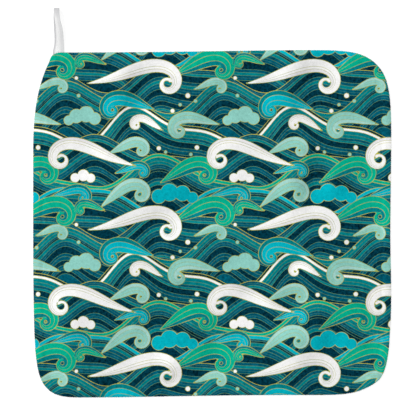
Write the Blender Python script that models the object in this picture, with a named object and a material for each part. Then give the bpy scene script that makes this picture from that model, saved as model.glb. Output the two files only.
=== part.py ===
# Plush hand towel lying on its back, printed face up, with a folded tape loop sewn into one corner.
# The origin is on the flat underside, at the middle of the cloth. +Y points to the edge that has the loop.
# The tables are in millimetres and degrees, and everything built from them is in metres.

import math
from collections import namedtuple

import bmesh
import bpy
from mathutils import Quaternion, Vector
from mathutils.geometry import interpolate_bezier

MM = 0.001

# Cloth
FIELD_CELLS = 18  # grid cells from the middle of the cloth to its edge
BEZIER_STEPS = 24  # points read from each stretch of the outline
BEND_COUNTS_AS = 0.060  # metres of straight edge that one radian of bend is worth when points are shared out
INWARD_REACH = 0.016  # stretch of edge, each way, over which the inward direction is averaged

# Hanging loop
TAPE_WIDTH = 0.0046
TAPE_THICKNESS = 0.0008
TAPE_EDGE_ROUND = 0.00015
TAPE_STEPS = 6  # strip cells between two rows of the tape's table
LOOP_ROOT = Vector((-0.1286, 0.1436, 0.0))  # where the tape meets the corner's edge

# Pocket in the corner's seam that holds the tape's ends
SEAM_GAP = 0.0003
POCKET_MOUTH = 0.0100  # how far the cutter runs past the edge

# Outline, clockwise from the corner with the loop. heading is the direction of travel, 0 along +X and -90 along -Y.
# reach_in and reach_out are the Bezier handles before and after the point. A corner row parts two sides.
Anchor = namedtuple("Anchor", "x y heading reach_in reach_out corner")
OUTLINE = (
    Anchor(-133.7, 141.4, 40, 3, 3, True),
    Anchor(-124.0, 143.6, 0, 5, 90, False),
    Anchor(86.0, 145.6, 0, 50, 25, False),
    Anchor(136.0, 135.2, -42, 14, 15, True),
    Anchor(150.0, 73.0, -90, 40, 24, False),
    Anchor(149.2, -8.0, -90, 24, 26, False),
    Anchor(149.1, -88.0, -94, 26, 7, False),
    Anchor(144.9, -121.0, -107, 12, 3, False),
    Anchor(139.2, -131.3, -138, 4, 3, True),
    Anchor(120.0, -140.9, -166, 9, 12, False),
    Anchor(70.0, -143.4, -180, 28, 80, False),
    Anchor(-98.0, -145.4, -180, 40, 20, False),
    Anchor(-138.5, -137.9, -226, 12, 13, True),
    Anchor(-149.6, -66.0, -269, 46, 34, False),
    Anchor(-150.0, 58.0, -270, 50, 24, False),
    Anchor(-137.2, 134.4, -296, 27, 3, False),
)

# Section through the turned edge, from the field out to where the cloth leaves the surface it lies on.
# follow is the share of the cloth's soft rises that the row takes part in.
Section = namedtuple("Section", "inset height follow")
EDGE_SECTION = (
    Section(10.5, 3.00, 1.00),
    Section(8.2, 2.90, 0.90),
    Section(6.3, 2.55, 0.70),
    Section(4.6, 3.05, 0.50),
    Section(2.9, 3.35, 0.35),
    Section(1.3, 3.00, 0.20),
    Section(0.35, 2.20, 0.00),
    Section(0.0, 1.35, 0.00),
    Section(0.25, 0.55, 0.00),
    Section(1.0, 0.00, 0.00),
)

# Soft rises and troughs of the plush face. along and across are spreads, and turn is the direction of along.
Rise = namedtuple("Rise", "x y along across turn height")
RISES = (
    Rise(-74, 112, 32, 13, 74, 0.40),
    Rise(-59, 108, 28, 9, 74, -0.50),
    Rise(80, 108, 27, 10, 70, -0.50),
    Rise(66, 116, 30, 14, 66, 0.35),
    Rise(74, 57, 27, 13, 82, 0.45),
    Rise(90, 52, 24, 10, 80, -0.50),
    Rise(-52, 56, 30, 14, 60, 0.45),
    Rise(-11, 11, 36, 10, 15, -0.55),
    Rise(-70, -22, 36, 16, 122, 0.40),
    Rise(127, 18, 42, 14, 94, -0.40),
    Rise(6, -104, 26, 9, 68, -0.50),
    Rise(86, -86, 31, 14, 52, 0.45),
    Rise(-118, -86, 40, 18, 100, 0.35),
    Rise(-95, -55, 70, 42, 32, 0.40),
    Rise(48, -22, 62, 38, 148, 0.40),
    Rise(118, 118, 30, 22, 135, -0.30),
)

# Tape of the loop, from one sewn end over the fold to the other, measured from LOOP_ROOT.
# roll turns the tape about its own run. The lower strand lies on the surface, the upper one springs up from it.
Station = namedtuple("Station", "x y z roll")
TAPE_RUN = (
    Station(-2.45, -5.3, 1.35, 0),
    Station(-2.45, 0.4, 1.33, 0),
    Station(-1.75, 6.2, 0.48, 0),
    Station(-0.85, 12.5, 0.42, 0),
    Station(-1.40, 21.0, 0.40, 0),
    Station(-1.65, 30.0, 0.43, 0),
    Station(-1.68, 34.2, 0.75, 0),
    Station(-1.68, 36.6, 3.40, 0),
    Station(-1.62, 33.8, 6.05, 2),
    Station(-1.05, 27.0, 6.50, 6),
    Station(0.80, 18.8, 5.25, 12),
    Station(1.85, 11.2, 3.25, 14),
    Station(2.25, 5.0, 1.75, 8),
    Station(2.45, 0.4, 1.33, 0),
    Station(2.45, -5.3, 1.35, 0),
)

CLOTH_COLOUR = (0.077, 0.262, 0.238, 1.0)
TAPE_COLOUR = (0.84, 0.84, 0.83, 1.0)


def clear_scene():
    for old in list(bpy.data.objects):
        bpy.data.objects.remove(old)


def plain_material(name, colour, roughness):
    material = bpy.data.materials.new(name)
    material.use_nodes = True
    shader = material.node_tree.nodes["Principled BSDF"]
    shader.inputs["Base Color"].default_value = colour
    shader.inputs["Roughness"].default_value = roughness
    shader.inputs["Metallic"].default_value = 0.0
    material.diffuse_color = colour
    return material


def new_object(name, mesh, material, parent, location=(0.0, 0.0, 0.0)):
    piece = bpy.data.objects.new(name, mesh)
    bpy.context.scene.collection.objects.link(piece)
    mesh.materials.append(material)
    piece.parent = parent
    piece.location = location
    return piece


def mesh_from(bm, name):
    """Finished mesh of a bmesh, with its faces outwards and shaded smooth."""
    bmesh.ops.recalc_face_normals(bm, faces=bm.faces)
    mesh = bpy.data.meshes.new(name)
    bm.to_mesh(mesh)
    bm.free()
    mesh.shade_smooth()
    mesh.set_sharp_from_angle(angle=math.radians(50))
    return mesh


def heading_vector(degrees):
    angle = math.radians(degrees)
    return Vector((math.cos(angle), math.sin(angle)))


def outline_sides():
    """The four sides as lists of points, each from one corner's middle to the next, clockwise."""
    sides = []
    for row, anchor in enumerate(OUTLINE):
        following = OUTLINE[(row + 1) % len(OUTLINE)]
        start = Vector((anchor.x, anchor.y))
        end = Vector((following.x, following.y))
        leave = start + anchor.reach_out * heading_vector(anchor.heading)
        arrive = end - following.reach_in * heading_vector(following.heading)
        stretch = interpolate_bezier(start, leave, arrive, end, BEZIER_STEPS)
        points = [point.to_2d() * MM for point in stretch]
        if anchor.corner:
            sides.append(points)
        else:
            sides[-1] += points[1:]
    return sides


class Side:
    """One side of the outline, read by a fraction from 0 to 1 that runs slower round the bends."""

    def __init__(self, points):
        self.points = points
        self.travelled = [0.0]
        heading = points[1] - points[0]
        for before, after in zip(points, points[1:]):
            step = after - before
            bend = abs(heading.angle_signed(step))
            self.travelled.append(self.travelled[-1] + step.length + BEND_COUNTS_AS * bend)
            heading = step

    def at(self, fraction):
        wanted = fraction * self.travelled[-1]
        index = 1
        while index < len(self.points) - 1 and self.travelled[index] < wanted:
            index += 1
        before = self.travelled[index - 1]
        share = (wanted - before) / (self.travelled[index] - before)
        return self.points[index - 1].lerp(self.points[index], share)


def edge_points(sides, steps):
    """Points round the whole outline, clockwise, with the same number on each side."""
    return [side.at(step / steps) for side in sides for step in range(steps)]


def inward_directions(ring):
    """Directions into the cloth. Each is averaged along the edge, so that insets don't cross at a tight corner."""
    count = len(ring)
    steps = [ring[(index + 1) % count] - ring[index - 1] for index in range(count)]
    directions = []
    for index in range(count):
        total = Vector((0.0, 0.0))
        for other in range(count):
            away = (ring[other] - ring[index]).length
            if away < INWARD_REACH:
                total += steps[other] * (1.0 - away / INWARD_REACH)
        directions.append(Vector((total.y, -total.x)).normalized())
    return directions


def soft_rise(point):
    """Height of the plush face above its even level at a point of the cloth."""
    height = 0.0
    for rise in RISES:
        offset = Vector(point) / MM - Vector((rise.x, rise.y))
        run = heading_vector(rise.turn)
        along = offset.dot(run) / rise.along
        across = offset.cross(run) / rise.across
        height += rise.height * math.exp(-0.5 * (along**2 + across**2))
    return height * MM


def inset_ring(ring, inward, row):
    """The outline moved into the cloth by one row of the edge's section."""
    return [point + direction * row.inset * MM for point, direction in zip(ring, inward)]


def lifted(point, row):
    """A point of the cloth at its height in one row of the edge's section."""
    return (*point, row.height * MM + row.follow * soft_rise(point))


def read_between(ring, place):
    """Point of a closed ring at a place counted in vertices, which may lie between two of them."""
    before = math.floor(place)
    return ring[before % len(ring)].lerp(ring[(before + 1) % len(ring)], place - before)


def square_walk(reach):
    """Grid places round a square, clockwise from its top left corner, reach cells from its middle."""
    top = [(step, reach) for step in range(-reach, reach)]
    right = [(reach, -step) for step in range(-reach, reach)]
    bottom = [(-step, -reach) for step in range(-reach, reach)]
    left = [(-reach, step) for step in range(-reach, reach)]
    return top + right + bottom + left


def make_field(bm, border):
    """Grid over the cloth inside its turned edge, each square of it a smaller copy of the border."""
    field = EDGE_SECTION[0]
    places = {(0, 0): bm.verts.new(lifted((0.0, 0.0), field))}
    for reach in range(1, FIELD_CELLS + 1):
        scale = reach / FIELD_CELLS
        for step, place in enumerate(square_walk(reach)):
            spot = read_between(border, step / scale) * scale
            places[place] = bm.verts.new(lifted(spot, field))
    cells = range(-FIELD_CELLS, FIELD_CELLS)
    for column in cells:
        for row in cells:
            corners = ((column, row), (column + 1, row), (column + 1, row + 1), (column, row + 1))
            bm.faces.new([places[corner] for corner in corners])
    return [places[place] for place in square_walk(FIELD_CELLS)]


def make_towel_mesh():
    sides = [Side(points) for points in outline_sides()]
    ring = edge_points(sides, 2 * FIELD_CELLS)
    inward = inward_directions(ring)
    bm = bmesh.new()
    inner = make_field(bm, inset_ring(ring, inward, EDGE_SECTION[0]))
    for row in EDGE_SECTION[1:]:
        outer = [bm.verts.new(lifted(point, row)) for point in inset_ring(ring, inward, row)]
        for index in range(len(outer)):
            bm.faces.new((inner[index - 1], inner[index], outer[index], outer[index - 1]))
        inner = outer
    middle = bm.verts.new((0.0, 0.0, 0.0))
    for index in range(len(inner)):
        bm.faces.new((inner[index - 1], inner[index], middle))
    return mesh_from(bm, "towel")


def curve_through(before, start, end, after, share):
    """Catmull-Rom point between start and end, which the curve passes through."""
    leave = (end - before) / 6
    arrive = (after - start) / 6
    rest = 1.0 - share
    near = rest**3 * start + 3 * rest**2 * share * (start + leave)
    far = 3 * rest * share**2 * (end - arrive) + share**3 * end
    return near + far


def tape_line():
    """Points and rolls along the tape's middle line."""
    rows = [Vector((row.x, row.y, row.z, row.roll)) for row in TAPE_RUN]
    padded = [2 * rows[0] - rows[1], *rows, 2 * rows[-1] - rows[-2]]
    line = []
    for index in range(1, len(padded) - 2):
        four = padded[index - 1 : index + 3]
        line += [curve_through(*four, step / TAPE_STEPS) for step in range(TAPE_STEPS)]
    line.append(rows[-1])
    return [(row.to_3d() * MM, math.radians(row.w)) for row in line]


def make_tape_mesh():
    """The tape's middle surface, which Solidify then makes as thick as the tape."""
    line = tape_line()
    bm = bmesh.new()
    pairs = []
    for index, (point, roll) in enumerate(line):
        ahead = line[min(index + 1, len(line) - 1)][0]
        behind = line[max(index - 1, 0)][0]
        run = (ahead - behind).normalized()
        across = Vector((1.0, 0.0, 0.0)) - run * run.x
        across.rotate(Quaternion(run, -roll))
        half = across.normalized() * TAPE_WIDTH / 2
        pairs.append((bm.verts.new(point - half), bm.verts.new(point + half)))
    for (left, right), (next_left, next_right) in zip(pairs, pairs[1:]):
        bm.faces.new((left, right, next_right, next_left))
    return mesh_from(bm, "hanging_loop")


def finish_tape(piece):
    thicken = piece.modifiers.new("thickness", "SOLIDIFY")
    thicken.thickness = TAPE_THICKNESS
    thicken.offset = 0.0
    thicken.use_even_offset = True
    soften = piece.modifiers.new("edges", "BEVEL")
    soften.width = TAPE_EDGE_ROUND
    soften.segments = 1
    soften.limit_method = "ANGLE"
    soften.angle_limit = math.radians(60)


def make_pocket_cutter(parent):
    """Block that cuts the seam open round the two sewn ends of the tape."""
    ends = (TAPE_RUN[0], TAPE_RUN[-1])
    half_width = TAPE_WIDTH / 2 + SEAM_GAP
    half_height = TAPE_THICKNESS / 2 + SEAM_GAP
    low = Vector((ends[0].x * MM - half_width, ends[0].y * MM - SEAM_GAP, ends[0].z * MM - half_height))
    high = Vector((ends[1].x * MM + half_width, POCKET_MOUTH, ends[1].z * MM + half_height))
    bm = bmesh.new()
    bmesh.ops.create_cube(bm, size=1.0)
    bmesh.ops.scale(bm, vec=high - low, verts=bm.verts)
    bmesh.ops.translate(bm, vec=(low + high) / 2, verts=bm.verts)
    cutter = bpy.data.objects.new("seam_pocket_cutter", mesh_from(bm, "seam_pocket_cutter"))
    bpy.context.scene.collection.objects.link(cutter)
    cutter.parent = parent
    cutter.location = LOOP_ROOT
    cutter.display_type = "WIRE"
    cutter.hide_render = True
    return cutter


def cut_pocket(towel, cutter):
    cut = towel.modifiers.new("seam pocket", "BOOLEAN")
    cut.operation = "DIFFERENCE"
    cut.solver = "EXACT"
    cut.object = cutter


def build():
    clear_scene()
    whole = bpy.data.objects.new("hand_towel", None)
    bpy.context.scene.collection.objects.link(whole)
    cloth = plain_material("printed_plush", CLOTH_COLOUR, 0.9)
    tape = plain_material("white_tape", TAPE_COLOUR, 0.6)
    towel = new_object("towel", make_towel_mesh(), cloth, whole)
    loop = new_object("hanging_loop", make_tape_mesh(), tape, whole, LOOP_ROOT)
    finish_tape(loop)
    cut_pocket(towel, make_pocket_cutter(whole))


build()
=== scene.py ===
import math

import bpy
import numpy as np
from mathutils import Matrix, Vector


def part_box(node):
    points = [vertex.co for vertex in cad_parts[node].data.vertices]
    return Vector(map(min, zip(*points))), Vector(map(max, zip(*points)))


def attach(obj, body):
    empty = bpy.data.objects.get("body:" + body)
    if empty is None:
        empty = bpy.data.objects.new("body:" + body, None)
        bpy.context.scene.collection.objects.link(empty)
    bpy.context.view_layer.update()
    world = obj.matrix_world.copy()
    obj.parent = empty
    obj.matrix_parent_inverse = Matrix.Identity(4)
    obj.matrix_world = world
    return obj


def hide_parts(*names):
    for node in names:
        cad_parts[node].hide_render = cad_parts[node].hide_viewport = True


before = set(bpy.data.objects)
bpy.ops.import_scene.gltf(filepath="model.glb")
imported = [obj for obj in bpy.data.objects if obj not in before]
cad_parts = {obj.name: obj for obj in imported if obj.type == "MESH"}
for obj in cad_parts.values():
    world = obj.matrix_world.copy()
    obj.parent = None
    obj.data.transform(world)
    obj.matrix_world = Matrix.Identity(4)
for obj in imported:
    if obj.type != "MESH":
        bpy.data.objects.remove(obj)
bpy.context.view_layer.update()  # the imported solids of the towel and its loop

# A square plush hand towel lies on its back with its printed face up.
# A white tape, folded double, comes out of the seam at its upper left corner.
# Values of the cloth, the print, the tape's run and the camera are in millimetres and degrees.
# Meshes, tuft and tape sizes, depths of bumps and the fold's reach are in metres.

mm = 0.001
towelLow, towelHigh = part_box("towel")
clothLow, clothHigh = (np.array(corner[:2]) / mm for corner in (towelLow, towelHigh))


def headingVector(degrees):
    return np.array((math.cos(math.radians(degrees)), math.sin(math.radians(degrees))))


def newObject(name, mesh):
    made = bpy.data.objects.new(name, mesh)
    bpy.context.scene.collection.objects.link(made)
    return made


# Nodes


class Maker:
    # Adds nodes to one tree. Numbers, colours and sockets can all be given as inputs.

    def __init__(self, tree):
        self.tree = tree

    def feed(self, socket, value):
        if isinstance(value, bpy.types.NodeSocket):
            self.tree.links.new(value, socket)
        else:
            socket.default_value = value

    def node(self, kind, named=None, **settings):
        made = self.tree.nodes.new(kind)
        for name, value in settings.items():
            setattr(made, name, value)
        for name, value in (named or {}).items():
            sockets = [socket for socket in made.inputs if socket.name == name and socket.enabled]
            self.feed(sockets[0], value)
        return made

    def worked(self, kind, operation, values):
        made = self.node(kind, operation=operation)
        for socket, value in zip(made.inputs, values):
            self.feed(socket, value)
        return made.outputs

    def sum(self, operation, *values):
        return self.worked("ShaderNodeMath", operation, values)[0]

    def vector(self, operation, *values):
        isNumber = operation in ("LENGTH", "DISTANCE", "DOT_PRODUCT")
        return self.worked("ShaderNodeVectorMath", operation, values)["Value" if isNumber else "Vector"]

    def scaled(self, vector, by):
        named = {"Vector": vector, "Scale": by}
        return self.node("ShaderNodeVectorMath", named, operation="SCALE").outputs["Vector"]

    def parts(self, vector):
        return self.node("ShaderNodeSeparateXYZ", {"Vector": vector}).outputs

    def paint(self, under, over, share):
        made = self.node("ShaderNodeMix", {"Factor": share, "A": under, "B": over}, data_type="RGBA")
        return next(socket for socket in made.outputs if socket.enabled)

    def times(self, value, factor):
        return self.sum("MULTIPLY", value, factor)

    def less(self, value, taken):
        return self.sum("SUBTRACT", value, taken)

    def timesPlus(self, value, factor, added):
        return self.sum("MULTIPLY_ADD", value, factor, added)

    def fromZeroToOne(self, value):
        return self.sum("MINIMUM", self.sum("MAXIMUM", value, 0.0), 1.0)

    def below(self, value, limit):
        return self.sum("LESS_THAN", value, limit)

    def line(self, value, place, half):  # one where the value is within half of the place
        return self.sum("COMPARE", value, place, half)

    def bands(self, value, stops):  # hard steps of colour, each from its place on, from 0 to 1
        made = self.node("ShaderNodeValToRGB", {"Fac": value})
        ramp = made.color_ramp
        ramp.interpolation = "CONSTANT"
        ramp.elements.remove(ramp.elements[1])
        for count, (place, ink) in enumerate(stops):
            element = ramp.elements[0] if count == 0 else ramp.elements.new(place)
            element.position = place
            element.color = linearInk(ink)
        return made.outputs["Color"]

    def noise(self, place, scale, detail=2.0, roughness=0.5):
        named = {"Vector": place, "Scale": scale, "Detail": detail, "Roughness": roughness}
        return self.node("ShaderNodeTexNoise", named).outputs

    def reading(self, name, output="Fac"):  # a value that the mesh keeps at its points
        return self.node("ShaderNodeAttribute", attribute_name=name).outputs[output]

    def group(self, tree, **named):
        return self.node("ShaderNodeGroup", named, node_tree=tree).outputs

    def shape(self, kind, named, **settings):  # first result of a geometry node
        return self.node("GeometryNode" + kind, named, **settings).outputs[0]

    def stored(self, name, **settings):  # a value that the geometry keeps at its points
        return self.node("GeometryNodeInputNamedAttribute", {"Name": name}, **settings).outputs["Attribute"]

    def storedOn(self, geometry, name, value):
        named = {"Geometry": geometry, "Name": name, "Value": value}
        return self.shape("StoreNamedAttribute", named, domain="POINT", data_type="FLOAT")


def inputKinds(values):  # a tree's inputs for a piece's values
    return {name: "Int" if isinstance(value, int) else "Float" for name, value in values.items()}


def newTree(name, kind, inputs, outputs):  # a node tree, with its sockets as names and their kinds
    tree = bpy.data.node_groups.new(name, kind)
    for way, sockets in (("INPUT", inputs), ("OUTPUT", outputs)):
        for socketName, socketKind in sockets.items():
            tree.interface.new_socket(socketName, in_out=way, socket_type="NodeSocket" + socketKind)
    given = tree.nodes.new("NodeGroupInput").outputs
    result = tree.nodes.new("NodeGroupOutput").inputs
    return tree, Maker(tree), given, result


def grown(source, tree, values):  # the plain mesh that a geometry tree makes from a source object
    modifier = source.modifiers.new(tree.name, "NODES")
    modifier.node_group = tree
    for item in tree.interface.items_tree:
        if item.in_out == "INPUT" and item.name in values:
            modifier[item.identifier] = values[item.name]
    evaluated = source.evaluated_get(bpy.context.evaluated_depsgraph_get())
    mesh = bpy.data.meshes.new_from_object(evaluated)
    source.modifiers.remove(modifier)
    return mesh


# Cloth

cloth = {
    "sideSteps": 60,  # points along each stretch of the edge table
    "fieldCells": 120,  # grid cells from the middle of the face to its turned edge
    "edgeSubsteps": 3,  # rows made for each row of the edge's section
    "backCells": 15,  # grid cells from the middle of the plain back to its rim
    "backDrawIn": 0.988,  # size of each ring of the back as a share of the one outside it
    "bendCountsAs": 60.0,  # millimetres of straight edge that one radian of bend is worth
    "inwardReach": 16.0,  # stretch of edge over which the inward direction is averaged
    "seamHeight": 1.0,  # where the printed face gives way to the plain back, on the edge
    "pileLumps": 0.06,  # height of the pile's own unevenness
    "pileLumpPitch": 1.5,
    "softLumps": 0.32,  # height of the broader unevenness under it
    "softLumpPitch": 17.0,
    "lumpTable": 400,  # random heights along each side of the table that lumps are read from
    "lumpSpread": 0.6,  # their standard deviation
    "keyLightHeading": 146.0,  # painted light and shade: the pile is painted lighter on slopes that face this way, the key light's heading, and darker on the others
    "leanReach": 2.0,  # a slope is taken over this distance each way
    "seed": 11,
}

# Clockwise from the loop's corner: x, y, heading of travel, handles before and after, parts two sides
edgeTable = (
    (-133.7, 141.4, 40, 3, 3, True),
    (-124.0, 143.6, 0, 5, 90, False),
    (86.0, 145.6, 0, 50, 25, False),
    (136.0, 135.2, -42, 14, 15, True),
    (150.0, 73.0, -90, 40, 24, False),
    (149.2, -8.0, -90, 24, 26, False),
    (149.1, -88.0, -94, 26, 7, False),
    (144.9, -121.0, -107, 12, 3, False),
    (139.2, -131.3, -138, 4, 3, True),
    (120.0, -140.9, -166, 9, 12, False),
    (70.0, -143.4, -180, 28, 80, False),
    (-98.0, -145.4, -180, 40, 20, False),
    (-138.5, -137.9, -226, 12, 13, True),
    (-149.6, -66.0, -269, 46, 34, False),
    (-150.0, 58.0, -270, 50, 24, False),
    (-137.2, 134.4, -296, 27, 3, False),
)

# Section through the turned edge, from the field outwards
# Columns: inset, height, share of the soft rises, share of the pile that stands out
edgeSection = (
    (12.5, 3.00, 1.00, 0.0),
    (9.8, 2.93, 0.90, 0.0),
    (7.9, 2.62, 0.75, 0.0),
    (6.4, 2.98, 0.60, 0.0),
    (4.9, 3.36, 0.45, 0.0),
    (3.2, 3.33, 0.30, 0.0),
    (1.4, 3.02, 0.15, 0.0),
    (0.4, 2.45, 0.00, 0.5),
    (0.0, 1.55, 0.00, 0.9),
    (0.2, 0.65, 0.00, 0.0),
    (1.0, 0.00, 0.00, 0.0),
)

# Soft rises and troughs of the plush face: x, y, spread along, spread across, turn of along, height
softRises = (
    (-74, 112, 32, 13, 74, 0.75),
    (-59, 108, 28, 9, 74, -0.80),
    (80, 108, 27, 10, 70, -0.80),
    (66, 116, 30, 14, 66, 0.65),
    (74, 57, 27, 13, 82, 0.80),
    (90, 52, 24, 10, 80, -0.80),
    (-52, 56, 30, 14, 60, 0.80),
    (-11, 11, 36, 10, 15, -0.90),
    (-70, -22, 36, 16, 122, 0.75),
    (127, 18, 42, 14, 94, -0.75),
    (6, -104, 26, 9, 68, -0.80),
    (86, -86, 31, 14, 52, 0.80),
    (-118, -86, 40, 18, 100, 0.65),
    (-95, -55, 70, 42, 32, 0.70),
    (48, -22, 62, 38, 148, 0.70),
    (118, 118, 30, 22, 135, -0.55),
)


def bezier(start, leave, arrive, end, share):
    rest = 1.0 - share
    return rest**3 * start + 3 * rest**2 * share * leave + 3 * rest * share**2 * arrive + share**3 * end


def edgeSides():  # each side as dense points, from one corner's middle to the next
    share = np.linspace(0.0, 1.0, cloth["sideSteps"])[:, None]
    sides = []
    for row, (x, y, heading, _, reachOut, corner) in enumerate(edgeTable):
        nextX, nextY, nextHeading, reachIn, _, _ = edgeTable[(row + 1) % len(edgeTable)]
        start = np.array((x, y))
        end = np.array((nextX, nextY))
        leave = start + reachOut * headingVector(heading)
        arrive = end - reachIn * headingVector(nextHeading)
        points = bezier(start, leave, arrive, end, share)
        if corner:
            sides.append(points)
        else:
            sides[-1] = np.vstack((sides[-1], points[1:]))
    return sides


def shareOut(points, steps):  # evenly spread points along one side, closer together round the bends
    stretch = np.diff(points, axis=0)
    heading = np.unwrap(np.arctan2(stretch[:, 1], stretch[:, 0]))
    bend = np.abs(np.diff(heading, prepend=heading[0]))
    steady = np.cumsum(np.hypot(*stretch.T) + cloth["bendCountsAs"] * bend)
    travelled = np.concatenate(((0.0,), steady))
    wanted = np.arange(steps) / steps * travelled[-1]
    return np.column_stack([np.interp(wanted, travelled, points[:, axis]) for axis in (0, 1)])


def edgeRing(steps):  # the whole outline, clockwise and fitted to the solid's own box
    ring = np.vstack([shareOut(points, steps) for points in edgeSides()])
    return clothLow + (ring - ring.min(axis=0)) * (clothHigh - clothLow) / np.ptp(ring, axis=0)


def inwardDirections(ring):  # averaged along the edge, so that insets don't cross at a tight corner
    steps = np.roll(ring, -1, axis=0) - np.roll(ring, 1, axis=0)
    away = np.hypot(*(ring[:, None] - ring[None]).transpose(2, 0, 1))
    total = np.clip(1.0 - away / cloth["inwardReach"], 0.0, None) @ steps
    inward = np.column_stack((total[:, 1], -total[:, 0]))
    return inward / np.hypot(*inward.T)[:, None]


def smoothRows(table, substeps):  # more rows, read from a smooth curve through all the table's rows
    rows = np.array(table)
    padded = np.vstack((2 * rows[0] - rows[1], rows, 2 * rows[-1] - rows[-2]))
    made = []
    for before, start, end, after in zip(padded, padded[1:], padded[2:], padded[3:]):
        leave = start + (end - before) / 6
        arrive = end - (after - start) / 6
        made += [bezier(start, leave, arrive, end, step / substeps) for step in range(substeps)]
    return np.array(made + [rows[-1]])


def softRise(points):  # height of the plush face above its even level
    height = np.zeros(len(points))
    for x, y, along, across, turn, rise in softRises:
        run = headingVector(turn)
        offset = points - (x, y)
        alongShare = offset @ run / along
        acrossShare = (offset[:, 0] * run[1] - offset[:, 1] * run[0]) / across
        height += rise * np.exp(-0.5 * (alongShare**2 + acrossShare**2))
    return height


def lumps(points, pitch, seed):  # smooth random heights, mostly from -1 to 1
    side = cloth["lumpTable"]
    table = np.random.default_rng(seed).standard_normal((side, side)) * cloth["lumpSpread"]
    place = points / pitch + side / 2
    cell = np.floor(place).astype(int)
    share = place - cell
    share = share * share * (3 - 2 * share)
    column, row = cell.T
    near = table[column, row] * (1 - share[:, 0]) + table[column + 1, row] * share[:, 0]
    far = table[column, row + 1] * (1 - share[:, 0]) + table[column + 1, row + 1] * share[:, 0]
    return near * (1 - share[:, 1]) + far * share[:, 1]


def softLump(points):
    return cloth["softLumps"] * lumps(points, cloth["softLumpPitch"], cloth["seed"] + 1)


def slopeToKeyLight(points):  # slope of the soft rises and lumps, above zero where they face the key light; it paints light and shade on the pile
    step = cloth["leanReach"] * headingVector(cloth["keyLightHeading"])
    before, after = (softRise(points + side * step) + softLump(points + side * step) for side in (-1, 1))
    return (before - after) / (2 * cloth["leanReach"])


def squareWalk(reach):  # grid columns and rows round a square, clockwise from its top left corner
    step = np.arange(-reach, reach)
    full = np.full_like(step, reach)
    return np.concatenate((step, full, -step, -full)), np.concatenate((full, -step, -full, step))


def gridOfRings(border, cells, firstNumber):  # squares of points, each a smaller copy of the border
    points = [np.zeros((1, 2))]
    numbers = np.zeros((2 * cells + 1, 2 * cells + 1), dtype=int)
    numbers[cells, cells] = firstNumber
    used = firstNumber + 1
    for reach in range(1, cells + 1):
        place = np.arange(8 * reach) * cells / reach
        before = np.floor(place).astype(int)
        share = (place - before)[:, None]
        edge = border[before % len(border)] * (1 - share) + border[(before + 1) % len(border)] * share
        points.append(edge * reach / cells)
        column, row = squareWalk(reach)
        numbers[column + cells, row + cells] = np.arange(used, used + 8 * reach)
        used += 8 * reach
    return np.vstack(points), numbers


def borderOf(numbers):
    reach = len(numbers) // 2
    column, row = squareWalk(reach)
    return numbers[column + reach, row + reach]


def gridFaces(numbers):
    corners = (numbers[:-1, :-1], numbers[1:, :-1], numbers[1:, 1:], numbers[:-1, 1:])
    return np.stack([corner.ravel() for corner in corners], axis=1).tolist()


def bandFaces(inner, outer):  # quads between two clockwise rings
    return np.stack((inner, np.roll(inner, -1), np.roll(outer, -1), outer), axis=1).tolist()


def halvingFaces(outer, inner):  # triangles from a ring to one with half as many points
    first, between = outer[0::2], outer[1::2]
    second, nextInner = np.roll(first, -1), np.roll(inner, -1)
    faces = []
    for corners in ((first, between, inner), (between, nextInner, inner), (between, second, nextInner)):
        faces += np.stack(corners, axis=1).tolist()
    return faces


def makeCloth():  # one closed skin: fine printed face, rounded edge and coarser plain back
    cells = cloth["fieldCells"]
    ring = edgeRing(2 * cells)
    inward = inwardDirections(ring)
    rows = smoothRows(edgeSection, cloth["edgeSubsteps"])
    inset, fieldHeight, follow, _ = rows[0]
    flat, numbers = gridOfRings(ring + inward * inset, cells, 0)
    flats = [flat]
    heights = [fieldHeight + follow * softRise(flat)]
    pile = [np.zeros(len(flat))]
    faces = gridFaces(numbers)
    inner = borderOf(numbers)
    used = len(flat)
    frontFaces = None
    for inset, height, follow, shows in rows[1:]:
        level = ring + inward * inset
        flats.append(level)
        heights.append(height + follow * softRise(level))
        pile.append(np.full(len(ring), max(shows, 0.0)))
        outer = np.arange(used, used + len(ring))
        if frontFaces is None and height < cloth["seamHeight"]:
            frontFaces = len(faces)
        faces += bandFaces(inner, outer)
        inner = outer
        used += len(ring)
    edgeCount = used
    # The back's rings have fewer and fewer points, down to a coarse grid
    foot = flats[-1]
    while len(inner) > 8 * cloth["backCells"]:
        foot = foot[::2] * cloth["backDrawIn"]
        flats.append(foot)
        outer = np.arange(used, used + len(foot))
        faces += halvingFaces(inner, outer)
        inner = outer
        used += len(foot)
    flat, numbers = gridOfRings(foot * cloth["backDrawIn"], cloth["backCells"], used)
    flats.append(flat)
    faces += bandFaces(inner, borderOf(numbers))
    faces += [face[::-1] for face in gridFaces(numbers)]
    flats = np.vstack(flats)
    backCount = len(flats) - edgeCount
    heights = np.concatenate((*heights, np.zeros(backCount)))
    pile = np.concatenate((*pile, np.zeros(backCount)))
    # Pile and soft lumps stand on the face, and fade out down the edge
    share = np.clip(heights / fieldHeight, 0.0, 1.0) ** 2
    heights += share * cloth["pileLumps"] * lumps(flats, cloth["pileLumpPitch"], cloth["seed"])
    heights += share * softLump(flats)
    # Painted light and shade: the slope towards the key light, kept for the plush to paint slopes lighter
    # or darker
    lean = share * slopeToKeyLight(flats)
    mesh = bpy.data.meshes.new("towelCloth")
    mesh.from_pydata(np.column_stack((flats, heights)) * mm, [], faces)
    mesh.update()
    mesh.shade_smooth()
    isBack = (np.arange(len(faces)) >= frontFaces).astype(np.int32)
    mesh.polygons.foreach_set("material_index", isBack)
    for name, values in (("pileShare", pile), ("paintedSlopeLight", lean)):
        mesh.attributes.new(name, "FLOAT", "POINT").data.foreach_set("value", values)
    layFlatMap(mesh)
    return newObject("towelCloth", mesh)


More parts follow.
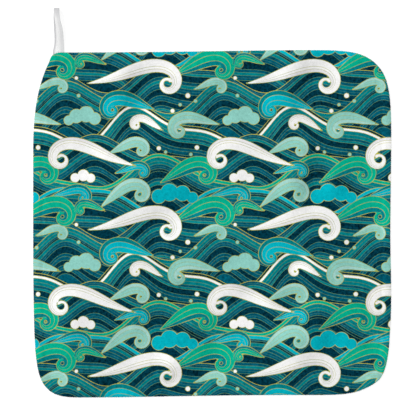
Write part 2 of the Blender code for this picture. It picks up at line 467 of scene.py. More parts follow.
def readAll(things, name, kind=np.int32, size=1):
    values = np.empty(size * len(things), dtype=kind)
    things.foreach_get(name, values)
    return values


def placesOf(mesh):  # x and y of every vertex, in millimetres
    return readAll(mesh.vertices, "co", np.float32, 3).reshape(-1, 3)[:, :2] / mm


flatMapName = "OFBake"  # a bake uses the map of this name
flatMap = {
    "margin": 2,  # left free round the cloth
    "backShare": 0.08,  # of the map's height goes to the plain back
    "gap": 1.01,  # the printed face starts at this many times the back's share
}


def layFlatMap(mesh):  # the printed face fills the map as it lies, with the back as a strip below it
    corner = readAll(mesh.loops, "vertex_index")
    low = clothLow - flatMap["margin"]
    high = clothHigh + flatMap["margin"]
    place = (placesOf(mesh)[corner] - low) / (high - low)
    faceSlot = readAll(mesh.polygons, "material_index")
    onBack = np.repeat(faceSlot, readAll(mesh.polygons, "loop_total")) == 1
    frontFrom = flatMap["gap"] * flatMap["backShare"]
    onFront = frontFrom + place[:, 1] * (1 - frontFrom)
    place[:, 1] = np.where(onBack, place[:, 1] * flatMap["backShare"], onFront)
    layer = mesh.uv_layers.new(name=flatMapName)
    layer.uv.foreach_set("vector", place.astype(np.float32).ravel())


# Print: scrolls of tapered strokes, lobed clouds and dots over bands of water

pattern = {
    "drawnAt": 1.28,  # the tables below are drawn at this scale
    "start": (18.0, 16.0),  # where on the drawing the towel's middle lies
    "tile": (104.0, 96.0),  # width and height of the repeat
    "outline": 0.17,  # half width of the gold outlines
    "sunkPitch": 9.0,  # how far apart the outlines sink into the pile and grow dull
    "sunkContrast": 5.0,  # how sharply they do
    "sunkStart": -2.0,  # lower, and less of them sinks
    "comb": 0.027,  # half width of the lines inside a stroke, as a share of its own half width
    "fray": 0.22,  # how far the pile carries a printed edge out of line
    "frayScale": 1.4,  # waves of the fray to a millimetre
}
inks = {
    "navy": (2, 51, 66),
    "deep": (3, 86, 105),
    "teal": (2, 124, 130),
    "turquoise": (4, 176, 190),
    "emerald": (5, 171, 139),
    "mint": (139, 202, 190),
    "paleMint": (160, 210, 202),
    "white": (243, 243, 242),
    "greyWhite": (229, 228, 230),
    "gold": (184, 182, 74),
    "sunkGold": (148, 164, 84),  # the outlines where they sink into the pile
    "dull": (96, 142, 98),  # the gold of the fine lines, half sunk in the pile
    "mist": (54, 118, 116),  # hair lines within the deep bands
}

# Strokes by layer, back to front: x, y, heading, way of turning, length, fattest half width,
# first and last bend, rush into the curl, tone
strokeLayers = {
    "mintStrokes": (
        (-55, 27, 40, -1, 52, 3.9, -0.006, 0.48, 2.4, 0),
        (23, -15, 166, 1, 52, 3.7, -0.006, 0.48, 2.4, 0),
        (16, 34, 12, -1, 40, 3.2, -0.020, 0.66, 2.4, 1),
        (-46, -47, 18, -1, 34, 2.8, -0.020, 0.72, 2.4, 1),
        (6, 8, 20, -1, 32, 2.4, -0.020, 0.78, 2.4, 0),
        (-50, -34, 22, -1, 40, 3.4, -0.018, 0.64, 2.4, 0),
    ),
    "greenStrokes": (
        (-8, 17, 26, -1, 60, 5.4, -0.006, 0.44, 2.6, 0),
        (-16, -53, 30, -1, 56, 5.0, -0.006, 0.46, 2.5, 0),
        (-20, -5, 160, 1, 52, 5.0, -0.006, 0.48, 2.5, 1),
        (52.5, 24.5, 160, 1, 31, 2.6, -0.018, 0.80, 2.4, 0),
    ),
    "whiteStrokes": (
        (-64, 12, 8, -1, 90, 4.4, -0.010, 0.36, 3.0, 0),
        (72, -42, 166, 1, 84, 4.1, -0.010, 0.38, 3.0, 0),
        (-14, -19, 150, 1, 34, 2.5, -0.018, 0.74, 2.4, 0),
    ),
}
strokeShape = {
    "steps": 300,  # places that a stroke is read from
    "tip": 0.25,  # half width where a stroke starts
    "belly": 0.45,  # where along it a stroke is fattest
    "swell": 1.1,  # above one, it starts out thinner
    "bulb": 0.75,  # extra half width at the curled end
    "bulbReach": 0.035,  # share of the stroke that the bulb takes
    "linesFrom": (0.05, 0.05),  # the inner lines come in from here, over this share
    "linesTo": (0.93, 0.06),  # and end here, over this share
}
farAway = 6.0  # the distance kept where no stroke is near
toneStep = 2.0  # a reading of the second tone is higher by this

# Look of each layer: fill and shaded side for either tone, where the shade lies, and its inner lines
strokeLooks = {
    "mintStrokes": (("mint", "turquoise"), ("paleMint", "teal"), (0.35, 1.5), (-0.35, 0.35)),
    "greenStrokes": (("emerald", "turquoise"), ("teal", "teal"), (-1.5, -0.4), (-0.4, 0.3)),
    "whiteStrokes": (("white", "white"), ("greyWhite", "greyWhite"), (-1.5, -0.5), (-0.5, -0.1)),
}
strokeLines = ("Line A", "Line B")

# Bands of water: level of the crest, rise, phase, ripple, ripple's phase, look
waterBands = (
    (2.0, 10.0, 0.05, 2.0, 0.30, 0),
    (-14.0, 11.0, 0.50, 2.4, 0.10, 1),
    (-31.0, 8.0, 0.20, 2.6, 0.70, 2),
    (-46.0, 11.0, 0.62, 2.0, 0.55, 3),
    (-63.0, 9.5, 0.10, 2.6, 0.85, 4),
    (-79.0, 9.0, 0.72, 2.4, 0.20, 2),
)
bandInputs = ("X", "Y", "Level", "Rise", "Phase", "Ripple", "Ripple Phase", "This Look")
crestLean = 0.45  # how far a crest leans out of an even swell
slopeThins = 0.6  # how much thinner the bands grow on a slope
bandDeep = 32.0  # how far below a crest the looks reach
beyond = 1000.0  # further than anything in the pattern
# Each look is a row of depths and the ink that starts there
bandLooks = (
    "0 gold .35 teal 2.3 dull 2.55 teal 4.4 dull 4.65 deep 5.8 dull 6.0 navy 6.8 dull 7.05 teal 9.2 dull"
    " 9.45 deep 10.8 mist 11.05 deep 12.4 dull 12.65 navy 17 dull 17.25 deep 19 dull 19.25 deep 21.4 dull"
    " 21.65 navy 24.5 dull 24.75 deep 26.3 mist 26.55 deep 28 dull 28.25 navy 30.2 dull 30.45 deep",
    "0 gold .35 navy 1.6 gold 1.9 white 3.3 gold 3.6 teal 5.8 dull 6.05 teal 8.1 dull 8.35 deep"
    " 9.8 dull 10 teal 11.2 dull 11.45 navy 15 dull 15.25 deep 17 dull 17.25 deep 19.4 dull 19.65 navy"
    " 23 dull 23.25 deep 24.8 mist 25.05 deep 26.4 dull 26.65 navy",
    "0 gold .35 deep 1.5 mist 1.75 deep 2.8 dull 3.05 teal 4.6 dull 4.85 navy 8.8 dull 9.05 deep 11 dull"
    " 11.25 teal 13.2 dull 13.45 deep 15 mist 15.25 deep 16.8 dull 17.05 navy 21 dull 21.25 deep 22.8 mist"
    " 23.05 deep 24.4 dull 24.65 navy 27.5 dull 27.75 deep 29.4 dull 29.65 teal 31 dull 31.25 deep",
    "0 gold .35 emerald 2.1 gold 2.4 teal 4.8 dull 5.05 teal 6.8 dull 7.05 deep 8.4 mist 8.65 deep"
    " 9.8 dull 10.05 navy 11.4 dull 11.65 navy 16 dull 16.25 deep 18 dull 18.25 teal 20.4 dull 20.65 navy"
    " 23.6 dull 23.85 deep 25.4 mist 25.65 deep 27 dull 27.25 navy",
    "0 gold .35 turquoise 2.3 dull 2.55 deep 3.6 dull 3.8 navy 4.8 dull 5.05 teal 7.2 dull 7.45 deep"
    " 9.4 dull 9.65 deep 11.2 mist 11.45 deep 12.8 dull 13.05 navy 18 dull 18.25 deep 20 dull 20.25 teal"
    " 22 dull 22.25 deep 23.6 mist 23.85 deep 25.2 dull 25.45 navy",
)

# Clouds: centre, ink, and lobes as x, y, radius
clouds = (
    ((-7, 34), "turquoise", ((-10, 0, 4.8), (-3, 2.6, 5.8), (5.5, 2.0, 5.2), (12, -0.8, 3.8))),
    ((37, -11), "mint", ((8, 0, 4.0), (2.5, 2.8, 5.2), (-4.0, 1.6, 4.6), (-9, -1.2, 3.2))),
    ((37, 46), "white", ((5.4, 0, 3.0), (0.6, 1.8, 3.8), (-4.8, 0.2, 3.0))),
)
# Dots: x, y, radius, ink
dots = (
    (2, 4, 1.6, "white"),
    (7, 0.5, 1.1, "mint"),
    (-8, -6, 1.4, "white"),
    (-3, -2, 1.0, "mint"),
    (8, -30, 1.5, "white"),
    (4, -34.5, 1.1, "mint"),
    (-17, -30.5, 1.4, "white"),
    (-12.5, -33, 1.0, "mint"),
    (33, 15.5, 1.2, "white"),
    (34.5, 4, 1.1, "mint"),
)


def strokePath(x, y, heading, way, length, fat, firstBend, lastBend, rush):
    # Middle points, half widths, shares and headings along a stroke that bends ever tighter into its curl
    share = np.linspace(0.0, 1.0, strokeShape["steps"])
    turned = firstBend * length * share + (lastBend - firstBend) * length * share ** (rush + 1) / (rush + 1)
    angle = math.radians(heading) + way * turned
    middle = (angle[1:] + angle[:-1]) / 2
    step = length / (len(share) - 1)
    points = np.zeros((len(share), 2))
    points[1:, 0] = np.cumsum(np.cos(middle)) * step
    points[1:, 1] = np.cumsum(np.sin(middle)) * step
    tip = strokeShape["tip"]
    belly = strokeShape["belly"]
    grow = np.sin(np.clip(share / belly, 0, 1) * math.pi / 2) ** strokeShape["swell"]
    shrink = np.sin(np.clip((1 - share) / (1 - belly), 0, 1) * math.pi / 2)
    width = tip + (fat - tip) * grow * shrink
    width += strokeShape["bulb"] * np.exp(-(((1 - share) / strokeShape["bulbReach"]) ** 2))
    return points + (x, y), width, share, angle


def linesShow(along):  # how far the inner lines show, none at both ends of a stroke
    start, comesIn = strokeShape["linesFrom"]
    end, goesOut = strokeShape["linesTo"]
    return min(max((along - start) / comesIn, 0.0), 1.0) * min(max((end - along) / goesOut, 0.0), 1.0)


def strokeReadings(points, strokes):
    # For each point: distance past the nearest stroke's rim, place across it, and how far its lines show
    # The last reading also holds the stroke's tone, as so many tone steps
    tile = np.array(pattern["tile"])
    readings = np.zeros((len(points), 3), dtype=np.float32)
    readings[:, 0] = farAway
    for *shape, tone in strokes:
        path, width, share, angle = strokePath(*shape)
        low = (path - width[:, None]).min(axis=0)
        high = (path + width[:, None]).max(axis=0)
        middle = (low + high) / 2
        local = np.mod(points - middle + tile / 2, tile) - tile / 2 + middle
        near = np.all((local > low - farAway) & (local < high + farAway), axis=1)
        local = local[near]
        best = readings[near]
        for (x, y), half, along, run in zip(path, width, share, angle):
            offset = local - (x, y)
            past = np.hypot(*offset.T) - half
            taken = past < best[:, 0]
            across = (math.cos(run) * offset[:, 1] - math.sin(run) * offset[:, 0]) / half
            best[taken, 0] = past[taken]
            best[taken, 1] = across[taken]
            best[taken, 2] = linesShow(along) + toneStep * tone
        readings[near] = best
    return readings


def readStrokes(mesh):  # stores the readings of every layer of strokes on the mesh's vertices
    places = placesOf(mesh) / pattern["drawnAt"] + pattern["start"]
    for name, strokes in strokeLayers.items():
        readings = mesh.attributes.new(name, "FLOAT_VECTOR", "POINT")
        readings.data.foreach_set("vector", strokeReadings(places, strokes).ravel())


def linearPart(part):  # one channel of a screen colour, from 0 to 255, as light
    part /= 255
    return part / 12.92 if part < 0.04045 else ((part + 0.055) / 1.055) ** 2.4


def linearInk(name):
    return (*map(linearPart, inks[name]), 1.0)


def waterBandGroup():
    # Keeps whichever band of water lies in front: the depth below its crest there, and its look
    kept = dict.fromkeys(("Front", "Depth", "Look"), "Float")
    inputs = {**dict.fromkeys(bandInputs, "Float"), **kept}
    tree, make, given, result = newTree("waterBand", "ShaderNodeTree", inputs, kept)
    wide, high = pattern["tile"]
    turn = make.times(given["X"], 2 * math.pi / wide)
    swing = make.less(turn, make.times(given["Phase"], 2 * math.pi))
    lean = make.timesPlus(make.sum("SINE", swing), crestLean, swing)
    ripple = make.timesPlus(given["Ripple Phase"], -2 * math.pi, make.times(turn, 2.0))
    rise = make.times(given["Rise"], make.sum("SINE", lean))
    crest = make.timesPlus(given["Ripple"], make.sum("SINE", ripple), rise)
    leanSlope = make.timesPlus(make.sum("COSINE", swing), crestLean, 1.0)
    riseSlope = make.times(given["Rise"], make.times(make.sum("COSINE", lean), leanSlope))
    rippleSlope = make.times(make.times(given["Ripple"], 2.0), make.sum("COSINE", ripple))
    slope = make.times(make.sum("ADD", riseSlope, rippleSlope), 2 * math.pi / wide)
    depth = make.less(make.sum("ADD", given["Level"], crest), given["Y"])
    depth = make.sum("FLOORED_MODULO", depth, high)
    front = make.less(depth, crest)
    taken = make.below(front, given["Front"])
    # On a slope the bands are thinner than they are deep
    stretch = make.sum("SQRT", make.timesPlus(make.times(slope, slope), slopeThins, 1.0))
    depth = make.sum("DIVIDE", depth, stretch)
    make.feed(result["Front"], make.sum("MINIMUM", front, given["Front"]))
    for name, new in (("Depth", depth), ("Look", given["This Look"])):
        change = make.less(new, given[name])
        make.feed(result[name], make.timesPlus(change, taken, given[name]))
    return tree


def bandStops(text):
    words = text.split()
    return [(float(place) / bandDeep, ink) for place, ink in zip(words[::2], words[1::2])]


def paintWater(make, place):
    x, y, _ = make.parts(place)
    tree = waterBandGroup()
    kept = {"Front": beyond, "Depth": 0.0, "Look": 0.0}
    for band in waterBands:
        given = dict(zip(bandInputs, (x, y, *map(float, band))))
        kept = dict(make.group(tree, **given, **kept).items())
    share = make.sum("DIVIDE", kept["Depth"], bandDeep)
    colour = make.bands(share, bandStops(bandLooks[0]))
    for number, text in enumerate(bandLooks[1:], 1):
        chosen = make.line(kept["Look"], float(number), 0.5)
        colour = make.paint(colour, make.bands(share, bandStops(text)), chosen)
    return colour


def wrapped(make, place, centre):  # the place as seen from the nearest copy of a centre
    offset = make.vector("SUBTRACT", place, (centre[0], centre[1], 0.0))
    wide, high = pattern["tile"]
    return make.vector("WRAP", offset, (wide / 2, high / 2, 1.0), (-wide / 2, -high / 2, -1.0))


def paintClouds(make, place, colour, gold):
    for centre, ink, lobes in clouds:
        local = wrapped(make, place, centre)
        past = beyond
        for x, y, radius in lobes:
            each = make.less(make.vector("DISTANCE", local, (x, y, 0.0)), radius)
            past = make.sum("MINIMUM", each, past)
        colour = make.paint(colour, linearInk(ink), make.below(past, 0.0))
        colour = make.paint(colour, gold, make.line(past, 0.0, pattern["outline"]))
    return colour


def paintDots(make, place, colour, gold):
    for x, y, radius, ink in dots:
        distance = make.vector("LENGTH", wrapped(make, place, (x, y)))
        colour = make.paint(colour, gold, make.below(distance, radius + pattern["outline"]))
        colour = make.paint(colour, linearInk(ink), make.below(distance, radius - pattern["outline"]))
    return colour


def strokeGroup():  # fill, shaded side, inner lines and outline of a layer of strokes
    inputs = dict.fromkeys(("Colour", "Fill", "Shade", "Gold"), "Color")
    numbers = ("Past", "Across", "Show", "Shade From", "Shade To", *strokeLines)
    inputs.update(dict.fromkeys(numbers, "Float"))
    tree, make, given, result = newTree("strokes", "ShaderNodeTree", inputs, {"Colour": "Color"})
    inside = make.below(given["Past"], 0.0)
    colour = make.paint(given["Colour"], given["Fill"], inside)
    shaded = make.times(make.sum("GREATER_THAN", given["Across"], given["Shade From"]), inside)
    shaded = make.times(shaded, make.below(given["Across"], given["Shade To"]))
    colour = make.paint(colour, given["Shade"], shaded)
    combed = 0.0
    for name in strokeLines:
        combed = make.sum("MAXIMUM", make.line(given["Across"], given[name], pattern["comb"]), combed)
    shown = make.times(make.sum("GREATER_THAN", given["Show"], 0.5), inside)
    colour = make.paint(colour, given["Gold"], make.times(combed, shown))
    colour = make.paint(colour, given["Gold"], make.line(given["Past"], 0.0, pattern["outline"]))
    make.feed(result["Colour"], colour)
    return tree


def paintStrokes(make, colour, gold, fray):
    tree = strokeGroup()
    for name, (fills, shades, (shadeFrom, shadeTo), lines) in strokeLooks.items():
        past, across, show = make.parts(make.reading(name, "Vector"))
        tone = make.sum("GREATER_THAN", show, toneStep - 0.5)
        given = {"Colour": colour, "Gold": gold, "Past": make.sum("ADD", past, fray), "Across": across}
        given["Show"] = make.sum("FLOORED_MODULO", show, toneStep)
        given["Fill"] = make.paint(*map(linearInk, fills), tone)
        given["Shade"] = make.paint(*map(linearInk, shades), tone)
        given.update({"Shade From": shadeFrom, "Shade To": shadeTo}, **dict(zip(strokeLines, lines)))
        colour = make.group(tree, **given)["Colour"]
    return colour


# Plush

plush = {
    "inkStrength": 0.80,  # of an ink's colour as seen in full light
    "grainPitch": 2.0,  # size of the pile's mottled grain
    "grainRoughness": 0.6,  # share of the finer unevenness in the grain and the tufts
    "grain": 5.0,  # how strongly the grain shows in the darkest ink
    "grainCalm": 20.0,  # how much less of it shows in pale ink
    "brightness": (0.21, 0.72, 0.07),  # weight of red, green and blue in how pale an ink is
    "cloudiness": 0.08,  # slow change of tone over the whole cloth
    "cloudScale": 0.03,  # waves of it to a millimetre
    "tuftPitch": 0.42,  # from one tuft of the pile to the next
    "tuftShade": 0.6,  # painted shade: how much darker the pile is painted between its tufts, in a random mottle
    "paintedEdgeLight": 0.35,  # painted light: how much lighter the pile is painted where it stands out round the edge, lifting the shade on its outer wall
    "paintedSlopeGain": 2.8,  # painted light and shade: how much lighter the pile is painted for each unit of slope towards the key light
    "roughness": 0.95,
    "gloss": 0.0,
    "sheen": 0.02,
    "sheenRoughness": 0.4,
    "bump": 0.8,
    "bumpDepth": 0.0002,
}


def newMaterial(name):
    material = bpy.data.materials.new(name)
    material.use_nodes = True
    return material, Maker(material.node_tree), material.node_tree.nodes["Principled BSDF"]


def placeInMillimetres(make):
    return make.scaled(make.node("ShaderNodeTexCoord").outputs["Object"], 1 / mm)


finishSockets = {"roughness": "Roughness", "gloss": "Specular IOR Level", "sheen": "Sheen Weight"}


def setFinish(make, shader, look, colour, height):  # colour, gloss and sheen, with a bump by the height
    make.feed(shader.inputs["Base Color"], colour)
    for value, socket in finishSockets.items():
        shader.inputs[socket].default_value = look[value]
    named = {"Height": height, "Strength": look["bump"], "Distance": look["bumpDepth"]}
    make.feed(shader.inputs["Normal"], make.node("ShaderNodeBump", named).outputs["Normal"])


def plushSurface(make, shader, place, colour):  # short pile: mottled tone with painted shade and light, fine bump and a faint sheen
    grain = make.noise(place, 1 / plush["grainPitch"], 2.0, plush["grainRoughness"])["Fac"]
    slow = make.noise(place, plush["cloudScale"], 1.0)["Fac"]
    brightness = make.vector("DOT_PRODUCT", colour, plush["brightness"])
    calm = make.timesPlus(brightness, plush["grainCalm"], 1.0)
    gain = make.timesPlus(make.less(grain, 0.5), make.sum("DIVIDE", plush["grain"], calm), 1.0)
    gain = make.timesPlus(make.less(slow, 0.5), plush["cloudiness"], gain)
    tufts = make.noise(place, 1 / plush["tuftPitch"], 3.0, plush["grainRoughness"])["Fac"]
    # painted shade between the tufts
    gain = make.timesPlus(make.less(tufts, 0.5), plush["tuftShade"], gain)
    # painted light where the pile stands out round the edge
    gain = make.timesPlus(make.reading("pileShare"), plush["paintedEdgeLight"], gain)
    # painted light and shade by the slope towards the key light
    gain = make.timesPlus(make.reading("paintedSlopeLight"), plush["paintedSlopeGain"], gain)
    gain = make.times(gain, plush["inkStrength"])
    setFinish(make, shader, plush, make.scaled(colour, gain), tufts)
    shader.inputs["Sheen Roughness"].default_value = plush["sheenRoughness"]


def printedPlush():
    material, make, shader = newMaterial("printedPlush")
    place = placeInMillimetres(make)
    wobble = make.noise(place, pattern["frayScale"])
    shift = make.vector("SUBTRACT", wobble["Color"], (0.5, 0.5, 0.5))
    shifted = make.vector("MULTIPLY_ADD", shift, (2 * pattern["fray"],) * 3, place)
    shrink = (1 / pattern["drawnAt"], 1 / pattern["drawnAt"], 0.0)
    flat = make.vector("MULTIPLY_ADD", shifted, shrink, (*pattern["start"], 0.0))
    fray = make.times(make.less(wobble["Fac"], 0.5), 2 * pattern["fray"])
    sunk = make.noise(place, 1 / pattern["sunkPitch"], 1.0)["Fac"]
    sunk = make.timesPlus(sunk, pattern["sunkContrast"], pattern["sunkStart"])
    gold = make.paint(linearInk("gold"), linearInk("sunkGold"), sunk)
    colour = paintWater(make, flat)
    colour = paintClouds(make, flat, colour, gold)
    colour = paintStrokes(make, colour, gold, fray)
    colour = paintDots(make, flat, colour, gold)
    plushSurface(make, shader, place, colour)
    return material


def plainPlush():
    material, make, shader = newMaterial("plainPlush")
    plushSurface(make, shader, placeInMillimetres(make), linearInk("white")[:3])
    return material


# Pile that stands out round the turned edge

edgePile = {
    "Density": 9.0e6,  # tufts on a square metre where the pile shows most
    "Length": 0.00045,
    "Root": 0.00012,  # radius of a tuft at its root
    "Smallest": 0.6,  # size of the smallest tuft as a share of these
    "Largest": 1.2,
    "Spread": 0.5,  # how far tufts lean out of line
    "Seed": 5,
}


def pileTree():  # three-sided tufts that stand out of the cloth, leaning at random
    inputs = {"Cloth": "Geometry", **inputKinds(edgePile), "Finish": "Material"}
    tree, make, given, result = newTree("edgePile", "GeometryNodeTree", inputs, {"Tufts": "Geometry"})
    density = make.times(make.stored("pileShare"), given["Density"])
    named = {"Mesh": given["Cloth"], "Density": density, "Seed": given["Seed"]}
    scattered = make.node("GeometryNodeDistributePointsOnFaces", named)
    spread = make.scaled((1.0, 1.0, 1.0), given["Spread"])
    named = {"Min": make.scaled(spread, -1.0), "Max": spread, "Seed": given["Seed"]}
    lean = make.node("FunctionNodeRandomValue", named, data_type="FLOAT_VECTOR").outputs[0]
    direction = make.vector("ADD", scattered.outputs["Normal"], lean)
    rotation = make.node("FunctionNodeAlignRotationToVector", {"Vector": direction}, axis="Z")
    named = {"Min": given["Smallest"], "Max": given["Largest"]}
    size = make.node("FunctionNodeRandomValue", named, data_type="FLOAT").outputs[1]
    named = {"Vertices": 3, "Radius Top": 0.0, "Radius Bottom": given["Root"], "Depth": given["Length"]}
    named = {"Points": scattered.outputs["Points"], "Instance": make.shape("MeshCone", named)}
    named.update({"Rotation": rotation.outputs[0], "Scale": make.scaled((1.0, 1.0, 1.0), size)})
    tufts = make.shape("InstanceOnPoints", named)
    tufts = make.shape("RealizeInstances", {"Geometry": tufts})
    tufts = make.shape("SetShadeSmooth", {"Geometry": tufts})
    tufts = make.shape("SetMaterial", {"Geometry": tufts, "Material": given["Finish"]})
    make.feed(result["Tufts"], tufts)
    return tree


def makeEdgePile(towelCloth, finish):  # each tuft keeps the cloth's own readings at its root
    mesh = grown(towelCloth, pileTree(), {**edgePile, "Finish": finish})
    mesh.name = "towelEdgePile"
    if flatMapName in mesh.attributes:
        mesh.attributes.remove(mesh.attributes[flatMapName])
    layFlatMap(mesh)
    return newObject("towelEdgePile", mesh)


# Hanging loop

tape = {
    "Width": 0.0046,
    "Thickness": 0.0008,
    "Edge Round": 0.00025,
    "Rib Pitch": 0.00062,  # one rib of the herringbone along the tape
    "Rib Depth": 0.00006,
    "Rib Slant": 0.55,  # how far a rib runs along the tape for each step across
    "Selvedge": 0.0005,  # width of the plain woven edges
    "Selvedge Fade": 0.0002,  # over which the ribs come in beside them
    "Steps": 620,  # rings of points along the whole tape
    "Section Steps": 46,  # points round each ring
}
loopRoot = (-128.6, 143.6, 0.0)
tapeSubsteps = 24  # points made for each row of the tape's run
# From one sewn end over the fold to the other, from the root: x, y, z, roll about the tape's own run
tapeRun = (
    (-2.70, -5.3, 1.35, 0),
    (-2.70, 0.4, 1.33, 0),
    (-1.68, 6.2, 0.48, 0),
    (-1.40, 12.0, 0.42, 0),
    (-1.78, 20.0, 0.40, 0),
    (-2.15, 29.0, 0.43, 0),
    (-2.00, 34.5, 0.75, 0),
    (-1.75, 37.0, 3.40, 0),
    (-1.85, 34.3, 6.05, 0),
    (-0.80, 27.0, 6.40, 2),
    (1.05, 18.8, 5.05, 5),
    (1.68, 11.2, 3.10, 6),
    (1.92, 5.0, 1.85, 3),
    (2.00, 0.4, 1.33, 0),
    (2.00, -5.3, 1.35, 0),
)
tapeLine = smoothRows(tapeRun, tapeSubsteps)
tapeLength = np.linalg.norm(np.diff(tapeLine[:, :3], axis=0), axis=1).sum() * mm


def makeTapeRail():  # the tape's middle line, with the direction across the tape at every point
    points = tapeLine[:, :3] + loopRoot
    run = np.gradient(points, axis=0)
    run /= np.linalg.norm(run, axis=1)[:, None]
    across = np.array((1.0, 0.0, 0.0)) - run * run[:, :1]
    across /= np.linalg.norm(across, axis=1)[:, None]
    roll = np.radians(tapeLine[:, 3])[:, None]
    across = across * np.cos(roll) - np.cross(run, across) * np.sin(roll)
    mesh = bpy.data.meshes.new("tapeRail")
    mesh.from_pydata(points * mm, [(count, count + 1) for count in range(len(points) - 1)], [])
    mesh.attributes.new("acrossTape", "FLOAT_VECTOR", "POINT").data.foreach_set("vector", across.ravel())
    return newObject("tapeRail", mesh)


def tapeTree():  # sweeps a rounded flat section along the rail and presses a herringbone into both sides
    inputs = {"Rail": "Geometry", **inputKinds(tape), "Finish": "Material"}
    tree, make, given, result = newTree("loopTape", "GeometryNodeTree", inputs, {"Tape": "Geometry"})
    rail = make.shape("MeshToCurve", {"Mesh": given["Rail"]})
    rail = make.shape("ResampleCurve", {"Curve": rail, "Count": given["Steps"]})
    across = make.stored("acrossTape", data_type="FLOAT_VECTOR")
    rail = make.shape("SetCurveNormal", {"Curve": rail, "Normal": across}, mode="FREE")
    rail = make.storedOn(rail, "alongTape", make.node("GeometryNodeSplineParameter").outputs["Length"])
    named = {"Width": given["Width"], "Height": given["Thickness"]}
    section = make.shape("CurvePrimitiveQuadrilateral", named)
    named = {"Curve": section, "Radius": given["Edge Round"]}
    section = make.shape("FilletCurve", named, mode="BEZIER")
    section = make.shape("ResampleCurve", {"Curve": section, "Count": given["Section Steps"]})
    section = make.storedOn(section, "acrossPlace", make.parts(make.shape("InputPosition", {}))[0])
    named = {"Curve": rail, "Profile Curve": section, "Fill Caps": True}
    swept = make.shape("CurveToMesh", named)
    side = make.sum("ABSOLUTE", make.stored("acrossPlace"))
    phase = make.timesPlus(side, given["Rib Slant"], make.stored("alongTape"))
    phase = make.times(make.sum("DIVIDE", phase, given["Rib Pitch"]), 2 * math.pi)
    wave = make.timesPlus(make.sum("COSINE", phase), 0.5, 0.5)
    halfWidth = make.times(given["Width"], 0.5)
    inside = make.less(halfWidth, make.sum("ADD", side, given["Selvedge"]))
    inside = make.fromZeroToOne(make.sum("DIVIDE", inside, given["Selvedge Fade"]))
    depth = make.times(make.times(wave, inside), given["Rib Depth"])
    offset = make.scaled(make.scaled(make.shape("InputNormal", {}), depth), -1.0)
    pressed = make.shape("SetPosition", {"Geometry": swept, "Offset": offset})
    smooth = make.shape("SetShadeSmooth", {"Geometry": pressed})
    real = make.shape("RealizeInstances", {"Geometry": smooth})
    make.feed(result["Tape"], make.shape("SetMaterial", {"Geometry": real, "Material": given["Finish"]}))
    return tree


def makeLoop(finish):
    rail = makeTapeRail()
    mesh = grown(rail, tapeTree(), {**tape, "Finish": finish})
    mesh.name = "loopTape"
    bpy.data.objects.remove(rail)
    return newObject("loopTape", mesh)


tapeLook = {
    "colour": (217, 217, 217),
    "outerShadeColour": (178, 178, 180),  # painted shade along the outer side of a strand
    "outerShadeStart": (0.1, -0.5),  # where the painted shade on the left and the right strand's outer side begins, in half widths
    "outerShadeShare": (1.0, 0.42),  # how much of the painted shade's colour the left and the right strand take
    "outerShadeFade": 0.6,  # over how many half widths the painted shade comes in
    "foldColour": (172, 172, 174),  # painted shade where the tape is folded over
    "foldShadeReach": 0.010,  # how far along the tape the painted fold shade fades out
    "threadScale": 1.6,  # waves of the thread's tone to a millimetre
    "threadTone": 0.16,
    "gloss": 0.1,
    "roughness": 0.6,
    "sheen": 0.04,
    "fibreScale": 6.0,
    "bump": 0.3,
    "bumpDepth": 0.0001,
}


def linearColour(parts):
    return tuple((part / 255) ** 2.2 for part in parts) + (1.0,)


def whiteTape():
    material, make, shader = newMaterial("whiteTape")
    place = placeInMillimetres(make)
    # Painted shade near the fold, fading out along the tape
    fromFold = make.less(make.reading("alongTape"), tapeLength / 2)
    foldShadeShare = make.sum("DIVIDE", make.sum("ABSOLUTE", fromFold), tapeLook["foldShadeReach"])
    foldShadeShare = make.less(1.0, make.sum("MINIMUM", foldShadeShare, 1.0))
    # Painted shade lies along the outer side, which is the left one before the fold and the right one after
    # it
    strand = make.sum("SIGN", fromFold)
    start, share = (
        make.timesPlus(strand, (right - left) / 2, (right + left) / 2)
        for left, right in (tapeLook["outerShadeStart"], tapeLook["outerShadeShare"])
    )
    side = make.times(make.sum("DIVIDE", make.reading("acrossPlace"), tape["Width"] / 2), strand)
    outer = make.fromZeroToOne(make.sum("DIVIDE", make.less(side, start), tapeLook["outerShadeFade"]))
    colour = make.paint(linearColour(tapeLook["colour"]), linearColour(tapeLook["foldColour"]), foldShadeShare)
    # painted shade along each strand's outer side
    colour = make.paint(colour, linearColour(tapeLook["outerShadeColour"]), make.times(outer, share))
    thread = make.noise(place, tapeLook["threadScale"])["Fac"]
    gain = make.timesPlus(make.less(thread, 0.5), tapeLook["threadTone"], 1.0)
    fibres = make.noise(place, tapeLook["fibreScale"])["Fac"]
    setFinish(make, shader, tapeLook, make.scaled(colour, gain), fibres)
    return material


# Floor, light and camera

studio = {
    "viewCentre": (-3.55, 13.3),  # what the middle of the picture looks at
    "viewWidth": 348.6,  # width of the picture on the cloth
    "cameraHeight": 3000.0,
    "sensor": 36.0,
    "keyPlace": (-3.6, 2.4, 5.2),  # in metres, as the next sizes are
    "keySize": 3.2,
    "keyPower": 285.0,
    "skyLight": 0.80,
    "floorReach": 20.0,
    "floorLevel": -0.0003,
    "floorPaint": 0.25,
    "floorGlow": 0.77,  # a light table: lit mostly from below, so that shadows on it stay pale
    "floorRoughness": 0.9,
}


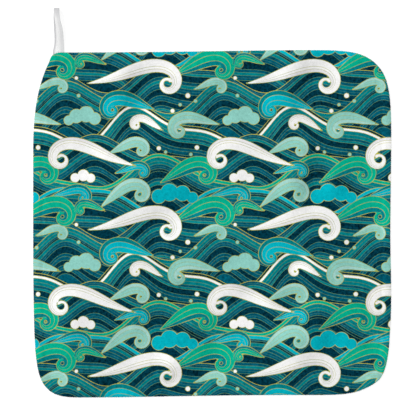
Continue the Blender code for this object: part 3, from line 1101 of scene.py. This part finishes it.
def makeCamera():
    camera = bpy.data.cameras.new("camera")
    camera.sensor_width = studio["sensor"]
    camera.lens = studio["sensor"] * studio["cameraHeight"] / studio["viewWidth"]
    holder = newObject("camera", camera)
    x, y = studio["viewCentre"]
    holder.location = (x * mm, y * mm, studio["cameraHeight"] * mm + towelHigh[2])
    bpy.context.scene.camera = holder


def makeLight():
    key = bpy.data.lights.new("key", "AREA")
    key.energy = studio["keyPower"]
    key.size = studio["keySize"]
    holder = newObject("key", key)
    holder.location = studio["keyPlace"]
    holder.rotation_euler = (-Vector(studio["keyPlace"])).to_track_quat("-Z", "Y").to_euler()
    sky = bpy.data.worlds.new("studio")
    sky.use_nodes = True
    sky.node_tree.nodes["Background"].inputs["Color"].default_value = (1.0, 1.0, 1.0, 1.0)
    sky.node_tree.nodes["Background"].inputs["Strength"].default_value = studio["skyLight"]
    bpy.context.scene.world = sky
    bpy.context.scene.view_settings.view_transform = "Standard"


def makeFloor():
    far = studio["floorReach"]
    mesh = bpy.data.meshes.new("floor")
    corners = ((-far, -far), (far, -far), (far, far), (-far, far))
    mesh.from_pydata([(*corner, studio["floorLevel"]) for corner in corners], [], [(0, 1, 2, 3)])
    floor = newObject("floor", mesh)
    material, _, shader = newMaterial("paleFloor")
    shader.inputs["Base Color"].default_value = (*(studio["floorPaint"],) * 3, 1.0)
    shader.inputs["Emission Color"].default_value = (1.0, 1.0, 1.0, 1.0)
    shader.inputs["Emission Strength"].default_value = studio["floorGlow"]
    shader.inputs["Roughness"].default_value = studio["floorRoughness"]
    mesh.materials.append(material)


makeCamera()
makeLight()
makeFloor()
print("studio ready")

printed = printedPlush()
towelCloth = makeCloth()
readStrokes(towelCloth.data)
towelCloth.data.materials.append(printed)
towelCloth.data.materials.append(plainPlush())
print("cloth ready,", len(towelCloth.data.polygons), "faces")

towelEdgePile = makeEdgePile(towelCloth, printed)
print("edge pile ready,", len(towelEdgePile.data.polygons), "faces")

loopTape = makeLoop(whiteTape())
print("loop ready,", len(loopTape.data.polygons), "faces")

pieceSlots = ((towelCloth, "printed_plush"), (towelEdgePile, "printed_plush"), (loopTape, "white_tape"))
for piece, slot in pieceSlots:
    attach(piece, "root")
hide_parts("towel")
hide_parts("hanging_loop")
